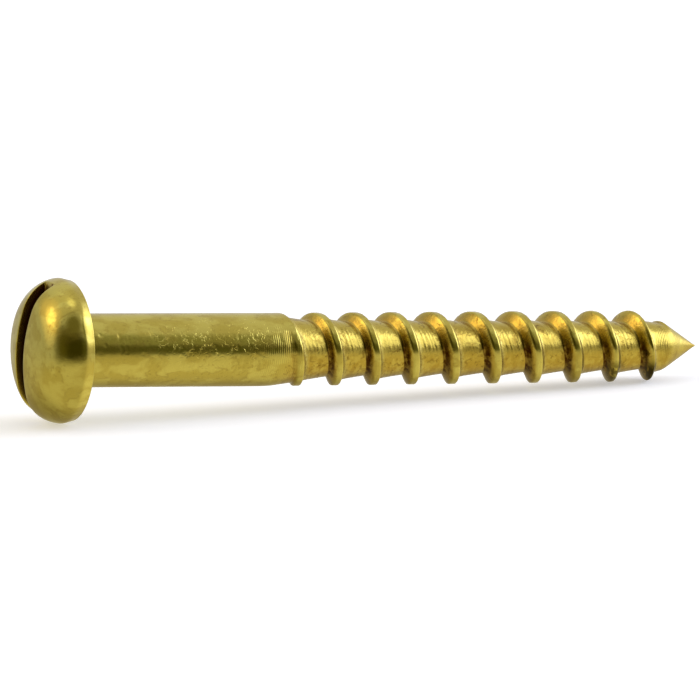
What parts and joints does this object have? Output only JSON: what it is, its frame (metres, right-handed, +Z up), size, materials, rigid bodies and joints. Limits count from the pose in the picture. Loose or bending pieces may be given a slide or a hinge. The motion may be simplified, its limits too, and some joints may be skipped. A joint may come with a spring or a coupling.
{
  "type": "round head wood screw",
  "caption": "Round head brass wood screw with a straight driver slot, a plain shank, a coarse right-hand cut thread and a cone point; it is driven into timber to hold a plate or a fitting.",
  "frame": {"origin": "on the surface that the screw lies on, under the middle of its bounding box", "axes": "+X along the screw from its head to its point, +Y across it, +Z up; the screw's own axis lies in the XZ plane and dips 3.4 degrees to the point"},
  "size_m": [0.0408, 0.008, 0.008],
  "materials": {
    "brass": "bright turned brass, lightly tarnished, with handling nicks on the shank and fine cutter lines in the thread"
  },
  "bodies": {
    "root": {"screw": "brass"}
  },
  "joints": []
}
